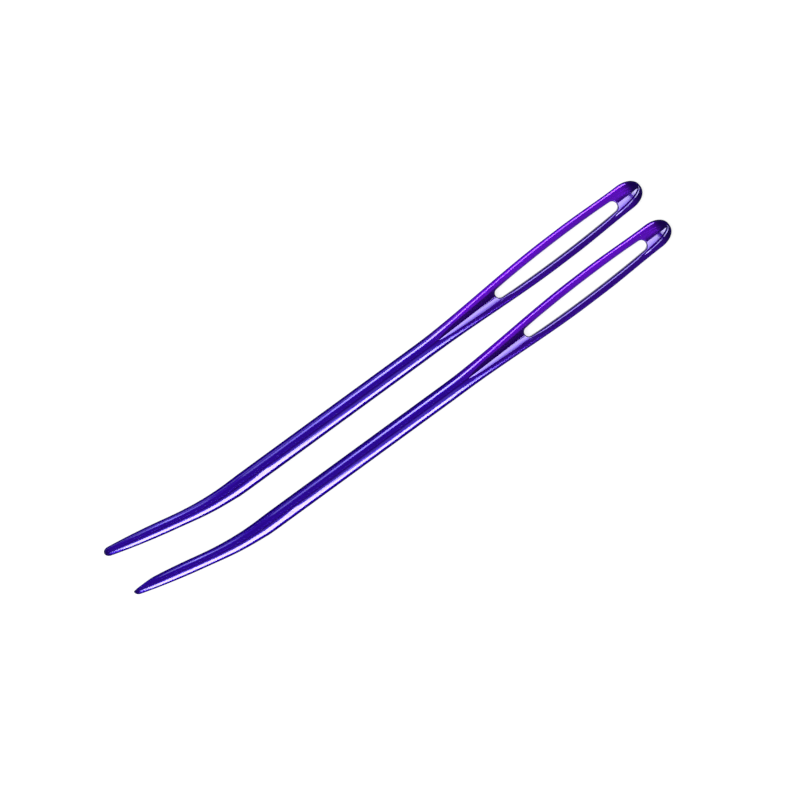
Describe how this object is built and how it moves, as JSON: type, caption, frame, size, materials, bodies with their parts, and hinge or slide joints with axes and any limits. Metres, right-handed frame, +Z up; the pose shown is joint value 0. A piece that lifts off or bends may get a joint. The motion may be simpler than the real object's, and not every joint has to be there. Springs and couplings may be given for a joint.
{
  "type": "yarn needle",
  "caption": "Pair of bent-tip yarn needles in blue-violet anodised aluminium, each with a long grooved eye, lying side by side.",
  "frame": {"origin": "middle of the pair's outline, on the surface that the shafts lie on", "axes": "+X along the shafts from the tips to the eyes, +Y to the side that the tips bend to, +Z up, square to the faces of the eyes"},
  "size_m": [0.0764, 0.0104, 0.0023],
  "materials": {
    "anodised_violet": "bright polished, with a deep blue-violet anodised layer"
  },
  "bodies": {
    "blunt_tip_needle": {"blunt_tip_needle": "anodised_violet"},
    "bevel_tip_needle": {"bevel_tip_needle": "anodised_violet"}
  },
  "joints": [
    {"name": "bevel_needle_lift", "type": "slide", "parent": "blunt_tip_needle", "child": "bevel_tip_needle", "axis": [0, 0, 1], "range_m": [0, 0.03]}
  ]
}
